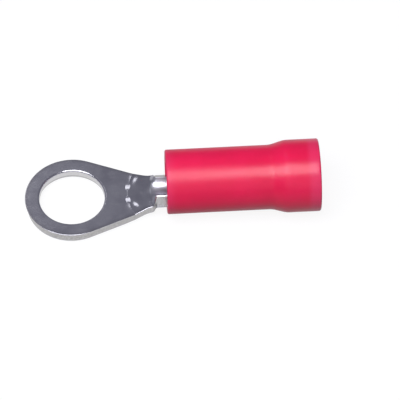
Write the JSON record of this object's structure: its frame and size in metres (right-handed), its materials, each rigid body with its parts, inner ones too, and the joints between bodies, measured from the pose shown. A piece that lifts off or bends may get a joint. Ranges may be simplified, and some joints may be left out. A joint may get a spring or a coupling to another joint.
{
  "type": "ring terminal",
  "caption": "Insulated crimp terminal: a flat ring for a stud and a rolled wire barrel, gripped in a red sleeve with a flared wire entry.",
  "frame": {"origin": "on the stud hole's axis, at the underside of the ring, where it seats", "axes": "+Z along the stud hole, towards the side that the wire barrel stands on; +X from the stud hole to the wire entry"},
  "size_m": [0.0194, 0.0062, 0.0047],
  "materials": {
    "tinned_copper": "satin tin plate over rolled copper sheet",
    "red_vinyl": "glossy moulded soft vinyl"
  },
  "bodies": {
    "root": {"terminal": "tinned_copper", "insulation_sleeve": "red_vinyl"}
  },
  "joints": []
}
